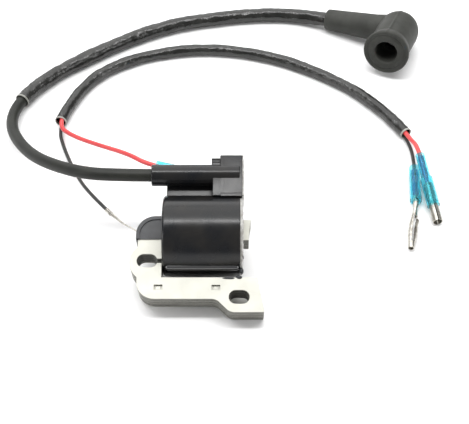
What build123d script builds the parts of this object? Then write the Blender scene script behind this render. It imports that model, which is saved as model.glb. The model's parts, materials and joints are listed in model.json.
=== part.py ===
from build123d import *
from math import asin, atan2, cos, hypot, pi, radians, sin, tan
import os

# Ignition coil for a small two-stroke engine, lying on a table with its leads.
# Millimetres, +Z up, the table at z = 0, +X along the core's leg towards its pole.
# The coil is drawn on its own core plane: u along the leg, v across the legs,
# n through the stack of laminations. It rests on its round case and on its foot.

# ---------------------------------------------------------------- core
STACK = 10.5  # 21 sheets of 0.5 mm
LEG_HALF = 4.3
LEG_END_TOP = 60.4
LEG_END_BOTTOM = 59.5
POLE_DISH = 0.25
YOKE_LEFT = 15.3
YOKE_RIGHT = 25.0
YOKE_CORNER_R = 7.0
LOWER_INNER = -19.9
LOWER_OUTER = -28.7
FOOT_EDGE = -34.1
LOWER_RIGHT = 62.7
FOOT_RIGHT = 65.4
FOOT_LEFT = 52.0
FOOT_STEP_LEFT = 46.6
FOOT_BEND_R = 4.5
SHARP_CORNER_R = 0.4
LOBE_LEFT = 12.3
LOBE_TOP = -7.4
LOBE_BOTTOM = -19.8
SLOT_LENGTH = 8.2
SLOT_WIDTH = 5.6
LEFT_SLOT = (19.2, -13.0)
RIGHT_SLOT = (55.6, -27.9)
SLIT_WIDTH = 1.8
DIMPLES = [(23.9, -23.9), (46.5, -24.0)]
DIMPLE_LENGTH = 3.2
DIMPLE_WIDTH = 1.9
DIMPLE_DEPTH = 0.45

# ---------------------------------------------------------------- case
CASE_R = 16.3
CASE_V = -0.5
CASE_LEFT = 25.2
CASE_RIGHT = 56.1
WALL = 1.6
CASE_EDGE_R = 1.2
FIT_GAP = 0.1
BOX_FRONT = 12.2
BOX_REAR = 30.3
BOX_TOP = 11.5
BOX_BOTTOM = -6.0
BOX_LEFT = 48.0
BOX_STEP_LEFT = 45.0
BOX_RIGHT = 57.0
TOWER_V = 22.6
TOWER_N = 8.0
TOWER_R = 4.4
TOWER_LEFT = 20.3
LEAD_SEAT = 38.0
WEB_LEFT = 26.4
WEB_FRONT = 7.0
WEB_REAR = 22.0
WEB_TOP = 5.5
WEB_BOTTOM = 2.5
JOIN = 1.0  # how far a rib or a cut reaches into its neighbour
BOSS_LEFT = 44.7
BOSS_FRONT = 25.3
BOSS_REAR = 29.2
BOSS_TOP = 11.0
BOSS_BOTTOM = 3.9

# ---------------------------------------------------------------- cap on the core's corner
CAP_LEFT = 14.6
CAP_FRONT = -4.0
CAP_REAR = 5.6
CAP_HALF = 5.75
CAP_RIM = 0.5
CAP_RIM_WIDTH = 1.4
CAP_SKIRT_FRONT = -7.4
CAP_WALL = 0.8
CAP_SKIRT_REAR = -3.5

# ---------------------------------------------------------------- windings and electronics
BOBBIN_LEFT = 27.0
BOBBIN_RIGHT = 53.5
FLANGE = 1.0
PRIMARY_WALL = 0.9
PRIMARY_R = 8.4
SECONDARY_TUBE_R = 9.4
SECONDARY_WIRE_R = 12.9
SECONDARY_FLANGE_R = 13.5
SECONDARY_SLOTS = 5
BOARD_LEFT = 51.2
BOARD_THICKNESS = 1.2
BOARD_V = (15.5, 28.1)
BOARD_N = (-3.8, 9.2)
TRANSISTOR_V = (16.0, 21.5)
TRANSISTOR_N = (-3.2, 1.6)
TRANSISTOR_HEIGHT = 2.6
CAPACITOR_AT = (24.8, -0.8)
CAPACITOR_R = 2.2
CAPACITOR_HEIGHT = 3.2
DIODE_V = (16.2, 18.4)
DIODE_N = (3.4, 8.0)
DIODE_HEIGHT = 1.6
RESISTORS_V = (20.4, 22.8, 25.2)
RESISTOR_WIDTH = 1.3
RESISTOR_N = (3.8, 6.6)
RESISTOR_HEIGHT = 0.8
SPIKE_TIP = 33.0
SPIKE_TIP_R = 0.2
SPIKE_R = 0.6

# ---------------------------------------------------------------- leads
HT_LEAD_R = 2.65
HT_SLEEVE_R = 3.6
HT_SLEEVE_BORE_R = 3.1
RED_WIRE_R = 1.0
BLACK_WIRE_R = 0.8
PAIR_SLEEVE_R = 2.85
PAIR_SLEEVE_BORE_R = 2.35
ARC_SHARE = 0.45  # of the shorter run beside a corner

# ---------------------------------------------------------------- terminals
SLEEVE_WALL = 0.35
KILL_YAW = 14.1
KILL_WIRE_END = 19.0
KILL_SLEEVE_START = 3.0
KILL_SLEEVE_END = 27.0
KILL_SLEEVE_SIZE = (6.1, 4.4)
TAB_START = -3.2
TAB_END = 9.0
TAB_THICKNESS = 0.8
TAB_WIDTH = 4.0
RECEPTACLE_START = 2.4
RECEPTACLE_END = 10.0
RECEPTACLE_SIZE = (2.2, 4.8)
RECEPTACLE_CORNER_R = 0.7
RECEPTACLE_NECK = (9.9, 13.1)
RECEPTACLE_NECK_SIZE = (1.4, 2.2)
KILL_CRIMP_START = 13.0
KILL_CRIMP_R = 1.5
FERRULE_LENGTH = 4.0
FERRULE_END = (-30.4, 7.5, 16.6)
FERRULE_WALL = 0.15
TAIL_R = 0.28
MALE_START = (95.1, 52.8, 2.5)
MALE_AXIS = (-0.077, -0.997, 0.0)
MALE_WIRE_END = 4.0
MALE_CRIMP_LENGTH = 13.0
MALE_CRIMP_R = 1.45
MALE_SLEEVE_LENGTH = 20.0
MALE_SLEEVE_R = 2.5
MALE_BEND = 20.5
NECK_R = 1.0
BULLET_AXIS = (-0.187, -0.982, -0.011)
BULLET_ROOT = 8.5
BULLET_TIP = 26.2
BULLET_R = 1.75
BULLET_NOSE_R = 0.8
BULLET_SLIT = 0.5
BULLET_SLIT_START = 12.5
FEMALE_START = (97.4, 56.4, 7.1)
FEMALE_AXIS = (0.116, -0.985, -0.13)
FEMALE_WIRE_END = 2.0
FEMALE_CRIMP_R = 1.35
FEMALE_LINK = (12.0, 16.0)
FEMALE_LINK_R = 0.9
FEMALE_R = 2.1
FEMALE_TIP = 36.1
FEMALE_SOCKET = 12.0
SOCKET_PLAY = 0.02
NARROW_R = 2.1
WIDE_R = 2.75
FEMALE_STEP = 13.0
FEMALE_STEP_LENGTH = 1.5
FEMALE_SLEEVE_END = 27.7

# ---------------------------------------------------------------- plug boot
HEAD_R = 10.0
MOUTH_R = 11.2
MOUTH_BORE_R = 5.35
MOUTH_BORE_LENGTH = 12.0
CHAMBER_R = 4.8
HEAD_LENGTH = 23.0
LIP_LENGTH = 6.0
STEM_TIP_R = 5.1
STEM_ROOT_R = 7.0
STEM_BORE_R = HT_SLEEVE_R + 0.05
SEAT = 27.0  # of the lead, from the elbow
BORE_PAST_ELBOW = 2.0
HEAD_BACK_R = 9.5
CONTACT_R = 3.6
CONTACT_WIRE_R = 0.45
CONTACT_PITCH = 2.4
CONTACT_TURNS = 4
CONTACT_GAP = 0.3
DISC_THICKNESS = 1.0
DISC_R = 1.8
BOOT_ELBOW = (95.8, 139.5, 10.1)
STEM_TIP = (62.0, 155.5, 5.1)

os.makedirs("parts", exist_ok=True)

# The coil leans until the foot's lower edge and the case both touch the table.
lean = asin(CASE_R / hypot(CASE_V - FOOT_EDGE, STACK / 2))
lean -= atan2(STACK / 2, CASE_V - FOOT_EDGE)
LEG_X = -38.8
LEG_Y = 1.66
LEG_Z = CASE_R - CASE_V * sin(lean)
CORE = Plane((LEG_X, LEG_Y, LEG_Z), x_dir=(1, 0, 0), z_dir=(0, -sin(lean), cos(lean)))


def level(n):
    """The plane parallel to the laminations at height n; x is u and y is v."""
    return CORE.offset(n)


def section(u):
    """The plane across the leg at u; x is v, y is n and the normal is +u."""
    return Plane(CORE.from_local_coords((u, 0, 0)), x_dir=CORE.y_dir, z_dir=CORE.x_dir)


def place(u, v, n):
    return CORE.from_local_coords(Vector(u, v, n))


def finish(builder, name):
    builder.part.label = name
    export_step(builder.part, f"parts/{name}.step")


def along(start, direction, distance):
    """The plane across a straight axis, at a distance from its start."""
    axis = Vector(*direction).normalized()
    return Plane(Vector(*start) + axis * distance, z_dir=axis)


# ---------------------------------------------------------------- laminated core
def core_outline():
    """The closed outline of a lamination, clockwise from the yoke's upper-left corner."""
    pole_mid = ((LEG_END_TOP + LEG_END_BOTTOM) / 2 - POLE_DISH, 0)
    top = FilletPolyline(
        (YOKE_LEFT, CAP_FRONT), (YOKE_LEFT, LEG_HALF), (LEG_END_TOP, LEG_HALF), radius=[YOKE_CORNER_R]
    )
    pole = ThreePointArc(top @ 1, pole_mid, (LEG_END_BOTTOM, -LEG_HALF))
    window = FilletPolyline(
        pole @ 1,
        (YOKE_RIGHT, -LEG_HALF),
        (YOKE_RIGHT, LOWER_INNER),
        (LOWER_RIGHT, LOWER_INNER),
        (FOOT_RIGHT, FOOT_EDGE),
        (FOOT_LEFT, FOOT_EDGE),
        (FOOT_STEP_LEFT, LOWER_OUTER),
        (YOKE_LEFT, LOWER_OUTER),
        (YOKE_LEFT, LOBE_BOTTOM),
        radius=[0, 0, SHARP_CORNER_R, SHARP_CORNER_R, FOOT_BEND_R, FOOT_BEND_R, YOKE_CORNER_R],
    )
    lobe = ThreePointArc(window @ 1, (LOBE_LEFT, LEFT_SLOT[1]), (YOKE_LEFT, LOBE_TOP))
    Line(lobe @ 1, top @ 0)


with BuildPart() as core_laminations:
    with BuildSketch(level(-STACK / 2)):
        with BuildLine():
            core_outline()
        make_face()
        with Locations(LEFT_SLOT, RIGHT_SLOT):
            SlotOverall(SLOT_LENGTH, SLOT_WIDTH, mode=Mode.SUBTRACT)
        with Locations((YOKE_RIGHT, LEFT_SLOT[1])):
            Rectangle(YOKE_RIGHT - LEFT_SLOT[0], SLIT_WIDTH, mode=Mode.SUBTRACT)
    extrude(amount=STACK)
    with BuildSketch(level(STACK / 2)):
        with Locations(*DIMPLES):
            Rectangle(DIMPLE_LENGTH, DIMPLE_WIDTH)
    extrude(amount=-DIMPLE_DEPTH, mode=Mode.SUBTRACT)
finish(core_laminations, "core_laminations")

# ---------------------------------------------------------------- case
with BuildPart() as case_blank:
    with BuildSketch(section(CASE_LEFT)):
        with Locations((CASE_V, 0)):
            Circle(CASE_R)
    extrude(amount=CASE_RIGHT - CASE_LEFT)
    fillet(case_blank.edges().filter_by(GeomType.CIRCLE).sort_by(Axis.X)[0], CASE_EDGE_R)
    with BuildSketch(section(BOX_STEP_LEFT)):
        with Locations(((BOX_FRONT + TOWER_V) / 2, BOX_TOP / 2)):
            Rectangle(TOWER_V - BOX_FRONT, BOX_TOP)
    extrude(amount=CASE_RIGHT - BOX_STEP_LEFT)
    with BuildSketch(section(BOX_LEFT)):
        with Locations(((BOX_FRONT + BOX_REAR) / 2, (BOX_TOP + BOX_BOTTOM) / 2)):
            Rectangle(BOX_REAR - BOX_FRONT, BOX_TOP - BOX_BOTTOM)
    extrude(amount=BOX_RIGHT - BOX_LEFT)
    with BuildSketch(section(TOWER_LEFT)):
        with Locations((TOWER_V, TOWER_N)):
            Circle(TOWER_R)
    extrude(amount=CASE_RIGHT - TOWER_LEFT)
    fillet(case_blank.edges().filter_by(GeomType.CIRCLE).sort_by(Axis.X)[0], CASE_EDGE_R)
    with BuildSketch(section(WEB_LEFT)):
        with Locations(((WEB_FRONT + WEB_REAR) / 2, (WEB_TOP + WEB_BOTTOM) / 2)):
            Rectangle(WEB_REAR - WEB_FRONT, WEB_TOP - WEB_BOTTOM)
    extrude(amount=BOX_STEP_LEFT - WEB_LEFT + JOIN)
    with BuildSketch(section(BOSS_LEFT)):
        with Locations(((BOSS_FRONT + BOSS_REAR) / 2, (BOSS_TOP + BOSS_BOTTOM) / 2)):
            Rectangle(BOSS_REAR - BOSS_FRONT, BOSS_TOP - BOSS_BOTTOM)
    extrude(amount=BOX_LEFT - BOSS_LEFT + JOIN)

KILL_ROOT = place(47.6, 23.6, 0.2)
KILL_OUT = (
    CORE.x_dir * -cos(radians(KILL_YAW)) + CORE.y_dir * sin(radians(KILL_YAW))
).normalized()


def kill(distance):
    """The plane across the kill terminal's axis; y runs along the coil's n."""
    return Plane(KILL_ROOT + KILL_OUT * distance, x_dir=CORE.z_dir.cross(KILL_OUT), z_dir=KILL_OUT)


def bar(plane, width, height, length):
    with BuildSketch(plane) as profile:
        Rectangle(width, height)
    extrude(profile.sketch, amount=length)


with BuildPart() as kill_tab:
    bar(kill(TAB_START), TAB_THICKNESS, TAB_WIDTH, TAB_END - TAB_START)
finish(kill_tab, "kill_tab")

OPENING = (2 * (LEG_HALF + FIT_GAP), STACK + 2 * FIT_GAP)
with BuildPart() as cavity:
    with BuildSketch(section(BOBBIN_LEFT)):
        with Locations((CASE_V, 0)):
            Circle(CASE_R - WALL)
    extrude(amount=CASE_RIGHT - BOBBIN_LEFT)
    with BuildSketch(section(BOX_LEFT + WALL)):
        with Locations(((BOX_FRONT + BOX_REAR) / 2, (BOX_TOP + BOX_BOTTOM) / 2)):
            Rectangle(BOX_REAR - BOX_FRONT - 2 * WALL, BOX_TOP - BOX_BOTTOM - 2 * WALL)
    extrude(amount=BOX_RIGHT - BOX_LEFT - WALL)

with BuildPart() as coil_case:
    add(case_blank.part)
    add(cavity.part, mode=Mode.SUBTRACT)
    with BuildSketch(section(CASE_LEFT - JOIN)):
        Rectangle(*OPENING)
    extrude(amount=WALL + 3 * JOIN, mode=Mode.SUBTRACT)
    with BuildSketch(section(TOWER_LEFT - JOIN)):
        with Locations((TOWER_V, TOWER_N)):
            Circle(HT_LEAD_R)
    extrude(amount=LEAD_SEAT - TOWER_LEFT + JOIN, mode=Mode.SUBTRACT)
    with BuildSketch(section(LEAD_SEAT - JOIN)):
        with Locations((TOWER_V, TOWER_N)):
            Circle(SPIKE_R)
    extrude(amount=BOX_LEFT + WALL - LEAD_SEAT + 2 * JOIN, mode=Mode.SUBTRACT)
    add(kill_tab.part, mode=Mode.SUBTRACT)
finish(coil_case, "coil_case")

# ---------------------------------------------------------------- cap on the core's corner
with BuildPart() as core_corner_cap:
    with BuildSketch(level(-CAP_HALF)):
        with BuildLine():
            FilletPolyline(
                (CAP_LEFT, CAP_FRONT),
                (CAP_LEFT, CAP_REAR),
                (CASE_LEFT, CAP_REAR),
                (CASE_LEFT, CAP_FRONT),
                radius=[0, YOKE_CORNER_R + CAP_WALL, 0, 0],
                close=True,
            )
        make_face()
    extrude(amount=2 * CAP_HALF)
    with BuildSketch(level(CAP_HALF)):
        with BuildLine():
            FilletPolyline(
                (CAP_LEFT, CAP_FRONT),
                (CAP_LEFT, CAP_REAR),
                (CASE_LEFT, CAP_REAR),
                (CASE_LEFT, CAP_REAR - CAP_RIM_WIDTH),
                (CAP_LEFT + CAP_RIM_WIDTH, CAP_REAR - CAP_RIM_WIDTH),
                (CAP_LEFT + CAP_RIM_WIDTH, CAP_FRONT),
                radius=[0, YOKE_CORNER_R + CAP_WALL, 0, 0, YOKE_CORNER_R + CAP_WALL - CAP_RIM_WIDTH, 0],
                close=True,
            )
        make_face()
    extrude(amount=CAP_RIM)
    with BuildSketch(level(-STACK / 2)):
        with BuildLine():
            Polyline(
                (CAP_LEFT, CAP_SKIRT_REAR),
                (CAP_LEFT, CAP_FRONT),
                (YOKE_LEFT, CAP_SKIRT_FRONT),
                (YOKE_LEFT, CAP_SKIRT_REAR),
                close=True,
            )
        make_face()
    extrude(amount=STACK)
    with BuildSketch(level(-STACK / 2)):
        with BuildLine():
            FilletPolyline(
                (YOKE_LEFT, CAP_SKIRT_FRONT - JOIN),
                (YOKE_LEFT, LEG_HALF),
                (CASE_LEFT + JOIN, LEG_HALF),
                (CASE_LEFT + JOIN, CAP_SKIRT_FRONT - JOIN),
                radius=[0, YOKE_CORNER_R, 0, 0],
                close=True,
            )
        make_face()
    extrude(amount=STACK, mode=Mode.SUBTRACT)
finish(core_corner_cap, "core_corner_cap")

# ---------------------------------------------------------------- windings
BOBBIN_LENGTH = BOBBIN_RIGHT - BOBBIN_LEFT
SADDLE = (OPENING[0] + 2 * PRIMARY_WALL, OPENING[1] + 2 * PRIMARY_WALL)


def ring(outer, inner, left, length):
    """A round collar about the leg."""
    with BuildSketch(section(left)) as profile:
        Circle(outer)
        Circle(inner, mode=Mode.SUBTRACT)
    extrude(profile.sketch, amount=length)


with BuildPart() as primary_bobbin:
    with BuildSketch(section(BOBBIN_LEFT)):
        Rectangle(*SADDLE)
    extrude(amount=BOBBIN_LENGTH)
    for left in (BOBBIN_LEFT, BOBBIN_RIGHT - FLANGE):
        with BuildSketch(section(left)):
            Circle(PRIMARY_R)
        extrude(amount=FLANGE)
    with BuildSketch(section(BOBBIN_LEFT)):
        Rectangle(*OPENING)
    extrude(amount=BOBBIN_LENGTH, mode=Mode.SUBTRACT)
finish(primary_bobbin, "primary_bobbin")

with BuildPart() as primary_winding:
    with BuildSketch(section(BOBBIN_LEFT + FLANGE)):
        Circle(PRIMARY_R)
        Rectangle(*SADDLE, mode=Mode.SUBTRACT)
    extrude(amount=BOBBIN_LENGTH - 2 * FLANGE)
finish(primary_winding, "primary_winding")

SLOT_PITCH = (BOBBIN_LENGTH - FLANGE) / SECONDARY_SLOTS
with BuildPart() as secondary_bobbin:
    ring(SECONDARY_TUBE_R, PRIMARY_R, BOBBIN_LEFT, BOBBIN_LENGTH)
    for slot in range(SECONDARY_SLOTS + 1):
        ring(SECONDARY_FLANGE_R, PRIMARY_R, BOBBIN_LEFT + slot * SLOT_PITCH, FLANGE)
finish(secondary_bobbin, "secondary_bobbin")

with BuildPart() as secondary_winding:
    for slot in range(SECONDARY_SLOTS):
        left = BOBBIN_LEFT + slot * SLOT_PITCH + FLANGE
        ring(SECONDARY_WIRE_R, SECONDARY_TUBE_R, left, SLOT_PITCH - FLANGE)
finish(secondary_winding, "secondary_winding")


# ---------------------------------------------------------------- electronics
def block(u, v, n):
    """A box between two limits along each core direction."""
    with BuildSketch(section(u[0])) as profile:
        with Locations(((v[0] + v[1]) / 2, (n[0] + n[1]) / 2)):
            Rectangle(v[1] - v[0], n[1] - n[0])
    extrude(profile.sketch, amount=u[1] - u[0])


def round_piece(u, v, n, radius):
    """A cylinder standing on the circuit board."""
    with BuildSketch(section(u[0])) as profile:
        with Locations((v, n)):
            Circle(radius)
    extrude(profile.sketch, amount=u[1] - u[0])


BOARD_FACE = BOARD_LEFT + BOARD_THICKNESS
with BuildPart() as circuit_board:
    block((BOARD_LEFT, BOARD_FACE), BOARD_V, BOARD_N)
finish(circuit_board, "circuit_board")

with BuildPart() as switching_transistor:
    block((BOARD_FACE, BOARD_FACE + TRANSISTOR_HEIGHT), TRANSISTOR_V, TRANSISTOR_N)
finish(switching_transistor, "switching_transistor")

with BuildPart() as timing_capacitor:
    round_piece((BOARD_FACE, BOARD_FACE + CAPACITOR_HEIGHT), *CAPACITOR_AT, CAPACITOR_R)
finish(timing_capacitor, "timing_capacitor")

with BuildPart() as blocking_diode:
    block((BOARD_FACE, BOARD_FACE + DIODE_HEIGHT), DIODE_V, DIODE_N)
finish(blocking_diode, "blocking_diode")

with BuildPart() as bias_resistors:
    for v in RESISTORS_V:
        block((BOARD_FACE, BOARD_FACE + RESISTOR_HEIGHT), (v, v + RESISTOR_WIDTH), RESISTOR_N)
finish(bias_resistors, "bias_resistors")

# ---------------------------------------------------------------- tower spike and kill terminal
with BuildPart() as high_voltage_spike:
    with BuildSketch(section(SPIKE_TIP)):
        with Locations((TOWER_V, TOWER_N)):
            Circle(SPIKE_TIP_R)
    with BuildSketch(section(LEAD_SEAT)):
        with Locations((TOWER_V, TOWER_N)):
            Circle(SPIKE_R)
    loft()
    with BuildSketch(section(LEAD_SEAT)):
        with Locations((TOWER_V, TOWER_N)):
            Circle(SPIKE_R)
    extrude(amount=BOARD_LEFT - LEAD_SEAT)
finish(high_voltage_spike, "high_voltage_spike")

with BuildPart() as kill_receptacle:
    with BuildSketch(kill(RECEPTACLE_START)):
        RectangleRounded(*RECEPTACLE_SIZE, RECEPTACLE_CORNER_R)
    extrude(amount=RECEPTACLE_END - RECEPTACLE_START)
    neck_start, neck_end = RECEPTACLE_NECK
    bar(kill(neck_start), *RECEPTACLE_NECK_SIZE, neck_end - neck_start)
    with BuildSketch(kill(KILL_CRIMP_START)):
        Circle(KILL_CRIMP_R)
    extrude(amount=KILL_WIRE_END - KILL_CRIMP_START)
    add(kill_tab.part, mode=Mode.SUBTRACT)
finish(kill_receptacle, "kill_receptacle")

with BuildPart() as kill_receptacle_sleeve:
    wide, thick = KILL_SLEEVE_SIZE
    with BuildSketch(kill(KILL_SLEEVE_START)):
        SlotOverall(wide, thick, rotation=90)
        SlotOverall(wide - 2 * SLEEVE_WALL, thick - 2 * SLEEVE_WALL, rotation=90, mode=Mode.SUBTRACT)
    extrude(amount=KILL_SLEEVE_END - KILL_SLEEVE_START)
finish(kill_receptacle_sleeve, "kill_receptacle_sleeve")


# ---------------------------------------------------------------- leads
def corner_radii(points):
    """The largest arc that the runs beside each corner leave room for."""
    spots = [Vector(*p) for p in points]
    radii = []
    for before, corner, after in zip(spots, spots[1:], spots[2:]):
        turn = (corner - before).get_angle(after - corner)
        shorter = min((corner - before).length, (after - corner).length)
        radii.append(ARC_SHARE * shorter / tan(radians(turn / 2)))
    return radii


def tube(name, points, outer, inner=0.0, radii=None):
    """A round lead, or a sleeve with a bore, along straight runs joined by arcs."""
    radii = radii or corner_radii(points)
    with BuildPart() as lead:
        with BuildLine() as route:
            FilletPolyline(*points, radius=radii)
        path = route.wires()[0]
        with BuildSketch(Plane(path @ 0, z_dir=path % 0)):
            Circle(outer)
            if inner:
                Circle(inner, mode=Mode.SUBTRACT)
        sweep(path=path)
    area = pi * (outer**2 - inner**2)
    ratio = lead.part.volume / (area * path.length)
    shown = [round(r, 1) for r in radii]
    print(f"{name}: {path.length:.1f} mm long, volume ratio {ratio:.4f}, radii {shown}")
    finish(lead, name)
    return lead


def on_axis(start, direction, distance):
    spot = Vector(*start) + Vector(*direction).normalized() * distance
    return (spot.X, spot.Y, spot.Z)


def between(start, end, share):
    """The point at a share of the way from one point to another."""
    return tuple(a + (b - a) * share for a, b in zip(start, end))


TOWER_AXIS = place(LEAD_SEAT, TOWER_V, TOWER_N)
HEAD_AXIS = Vector(-0.370, -0.914, 0.167).normalized()
STEM_AXIS = (Vector(*STEM_TIP) - Vector(*BOOT_ELBOW)).normalized()

HT_ROUTE = [
    (TOWER_AXIS.X, TOWER_AXIS.Y, TOWER_AXIS.Z),
    (-30.2, TOWER_AXIS.Y, TOWER_AXIS.Z),
    (-50.8, 24.2, 29.3),
    (-75.8, 49.0, 15.2),
    (-90.6, 82.7, 4.2),
    (-79.3, 108.7, 3.6),
    (-51.3, 132.5, 3.6),
    (-21.8, 151.2, 3.6),
    (3.2, 157.7, 3.6),
    (27.7, 161.5, 3.6),
    on_axis(BOOT_ELBOW, STEM_AXIS, SEAT + 22.0),
    on_axis(BOOT_ELBOW, STEM_AXIS, SEAT),
]
HT_RADII = corner_radii(HT_ROUTE)
SLEEVE_START = between(HT_ROUTE[4], HT_ROUTE[5], 0.5)

ht_lead = tube("ht_lead", HT_ROUTE, HT_LEAD_R)
ht_sleeve = tube(
    "ht_sleeve", [SLEEVE_START] + HT_ROUTE[5:], HT_SLEEVE_R, HT_SLEEVE_BORE_R, HT_RADII[4:]
)

# The pair of control wires shares one sleeve, the red wire above the black one.
SLEEVE_Z = PAIR_SLEEVE_R
RED_Z = 3.75
BLACK_Z = 1.8
PAIR_LEFT = (-65.6, 82.4)
PAIR_RIGHT = (93.7, 74.4)
PAIR_PLAN = [
    (-60.9, 101.2),
    (-46.3, 121.3),
    (-17.6, 133.6),
    (12.4, 134.6),
    (41.0, 126.0),
    (67.7, 108.6),
    (82.7, 92.4),
    (89.8, 81.5),
]


def at_height(plan, z):
    return [(x, y, z) for x, y in plan]


def past(inside, end, distance):
    """A plan point beyond a sleeve's end, in line with its last run."""
    step = (Vector(*end) - Vector(*inside)).normalized() * distance
    return (end[0] + step.X, end[1] + step.Y)


KILL_MOUTH = KILL_ROOT + KILL_OUT * (KILL_SLEEVE_END + 4.0)
KILL_CRIMP = KILL_ROOT + KILL_OUT * KILL_WIRE_END

RED_ROUTE = [
    (KILL_CRIMP.X, KILL_CRIMP.Y, KILL_CRIMP.Z),
    (KILL_MOUTH.X, KILL_MOUTH.Y, KILL_MOUTH.Z),
    (-29.8, 40.0, 24.2),
    (-45.3, 55.7, 14.2),
    (-58.3, 68.7, 7.0),
    *at_height([past(PAIR_PLAN[0], PAIR_LEFT, 3.7)] + PAIR_PLAN, RED_Z),
    (95.2, 69.6, RED_Z),
    on_axis(FEMALE_START, FEMALE_AXIS, -5.0),
    on_axis(FEMALE_START, FEMALE_AXIS, FEMALE_WIRE_END),
]
BLACK_ROUTE = [
    (-38.0, 17.7, 13.5),
    (-47.6, 32.8, 8.0),
    (-54.6, 47.2, 3.4),
    (-62.1, 65.2, 1.0),
    *at_height([past(PAIR_PLAN[0], PAIR_LEFT, 3.3)] + PAIR_PLAN, BLACK_Z),
    (94.4, 70.2, BLACK_Z),
    on_axis(MALE_START, MALE_AXIS, -6.0),
    on_axis(MALE_START, MALE_AXIS, MALE_WIRE_END),
]
red_wire = tube("red_wire", RED_ROUTE, RED_WIRE_R)
black_wire = tube("black_wire", BLACK_ROUTE, BLACK_WIRE_R)

RED_RADII = corner_radii(RED_ROUTE)
SLEEVE_PLAN = [PAIR_LEFT] + PAIR_PLAN + [PAIR_RIGHT]
pair_sleeve = tube(
    "pair_sleeve",
    at_height(SLEEVE_PLAN, SLEEVE_Z),
    PAIR_SLEEVE_R,
    PAIR_SLEEVE_BORE_R,
    RED_RADII[5 : 5 + len(PAIR_PLAN)],
)

# ---------------------------------------------------------------- earth lead's bare end
GROUND_EXIT = place(CAP_LEFT, 1.1, 0.6)
FERRULE_AXIS = Vector(*BLACK_ROUTE[0]) - Vector(*BLACK_ROUTE[1])
TAIL_AXIS = GROUND_EXIT - Vector(*FERRULE_END)
with BuildPart() as ground_ferrule:
    with BuildSketch(along(BLACK_ROUTE[0], FERRULE_AXIS, 0)):
        Circle(BLACK_WIRE_R + FERRULE_WALL)
    extrude(amount=FERRULE_LENGTH)
    with BuildSketch(along(BLACK_ROUTE[0], FERRULE_AXIS, FERRULE_LENGTH)):
        Circle(BLACK_WIRE_R)
    with BuildSketch(along(FERRULE_END, TAIL_AXIS, 0)):
        Circle(TAIL_R + FIT_GAP)
    loft()
finish(ground_ferrule, "ground_ferrule")

with BuildPart() as ground_wire_tail:
    with BuildSketch(along(FERRULE_END, TAIL_AXIS, 0)):
        Circle(TAIL_R)
    extrude(amount=TAIL_AXIS.length)
finish(ground_wire_tail, "ground_wire_tail")

# ---------------------------------------------------------------- bullet connectors
def barrel(start, direction, at, length, radius, bore=0.0):
    with BuildSketch(along(start, direction, at)) as profile:
        Circle(radius)
        if bore:
            Circle(bore, mode=Mode.SUBTRACT)
    extrude(profile.sketch, amount=length)


BULLET_START = on_axis(MALE_START, MALE_AXIS, MALE_BEND)
with BuildPart() as male_bullet:
    barrel(MALE_START, MALE_AXIS, MALE_WIRE_END, MALE_CRIMP_LENGTH, MALE_CRIMP_R)
    barrel(MALE_START, MALE_AXIS, MALE_WIRE_END, MALE_BEND - MALE_WIRE_END, NECK_R)
    barrel(BULLET_START, BULLET_AXIS, -FIT_GAP, BULLET_ROOT + FIT_GAP, NECK_R)
    barrel(BULLET_START, BULLET_AXIS, BULLET_ROOT, BULLET_TIP - BULLET_ROOT, BULLET_R)
    fillet(male_bullet.edges().filter_by(GeomType.CIRCLE).sort_by(Axis.Y)[0], BULLET_NOSE_R)
    with BuildSketch(along(BULLET_START, BULLET_AXIS, BULLET_SLIT_START)):
        Rectangle(BULLET_SLIT, 3 * BULLET_R)
    extrude(amount=BULLET_TIP, mode=Mode.SUBTRACT)
finish(male_bullet, "male_bullet")

with BuildPart() as male_bullet_sleeve:
    barrel(MALE_START, MALE_AXIS, 0, MALE_SLEEVE_LENGTH, MALE_SLEEVE_R, MALE_SLEEVE_R - SLEEVE_WALL)
finish(male_bullet_sleeve, "male_bullet_sleeve")

link_start, link_end = FEMALE_LINK
with BuildPart() as female_bullet:
    crimp_length = link_start - FEMALE_WIRE_END
    barrel(FEMALE_START, FEMALE_AXIS, FEMALE_WIRE_END, crimp_length, FEMALE_CRIMP_R)
    barrel(FEMALE_START, FEMALE_AXIS, link_start, link_end - link_start, FEMALE_LINK_R)
    barrel(FEMALE_START, FEMALE_AXIS, link_end, FEMALE_TIP - link_end, FEMALE_R)
    with BuildSketch(along(FEMALE_START, FEMALE_AXIS, FEMALE_TIP)):
        Circle(BULLET_R + SOCKET_PLAY)
    extrude(amount=-FEMALE_SOCKET, mode=Mode.SUBTRACT)
finish(female_bullet, "female_bullet")

with BuildPart() as female_bullet_sleeve:
    barrel(FEMALE_START, FEMALE_AXIS, 0, FEMALE_STEP, NARROW_R)
    with BuildSketch(along(FEMALE_START, FEMALE_AXIS, FEMALE_STEP - FEMALE_STEP_LENGTH)):
        Circle(NARROW_R)
    with BuildSketch(along(FEMALE_START, FEMALE_AXIS, FEMALE_STEP)):
        Circle(WIDE_R)
    loft()
    barrel(FEMALE_START, FEMALE_AXIS, FEMALE_STEP, FEMALE_SLEEVE_END - FEMALE_STEP, WIDE_R)
    with BuildSketch(along(FEMALE_START, FEMALE_AXIS, 0)):
        Circle(NARROW_R - SLEEVE_WALL)
    extrude(amount=FEMALE_STEP, mode=Mode.SUBTRACT)
    with BuildSketch(along(FEMALE_START, FEMALE_AXIS, FEMALE_STEP)):
        Circle(WIDE_R - SLEEVE_WALL)
    extrude(amount=FEMALE_SLEEVE_END, mode=Mode.SUBTRACT)
finish(female_bullet_sleeve, "female_bullet_sleeve")

# ---------------------------------------------------------------- spark plug boot
def head(distance):
    """The plane across the boot's head, at a distance from the elbow."""
    return Plane(Vector(*BOOT_ELBOW) + HEAD_AXIS * distance, z_dir=HEAD_AXIS)


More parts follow.
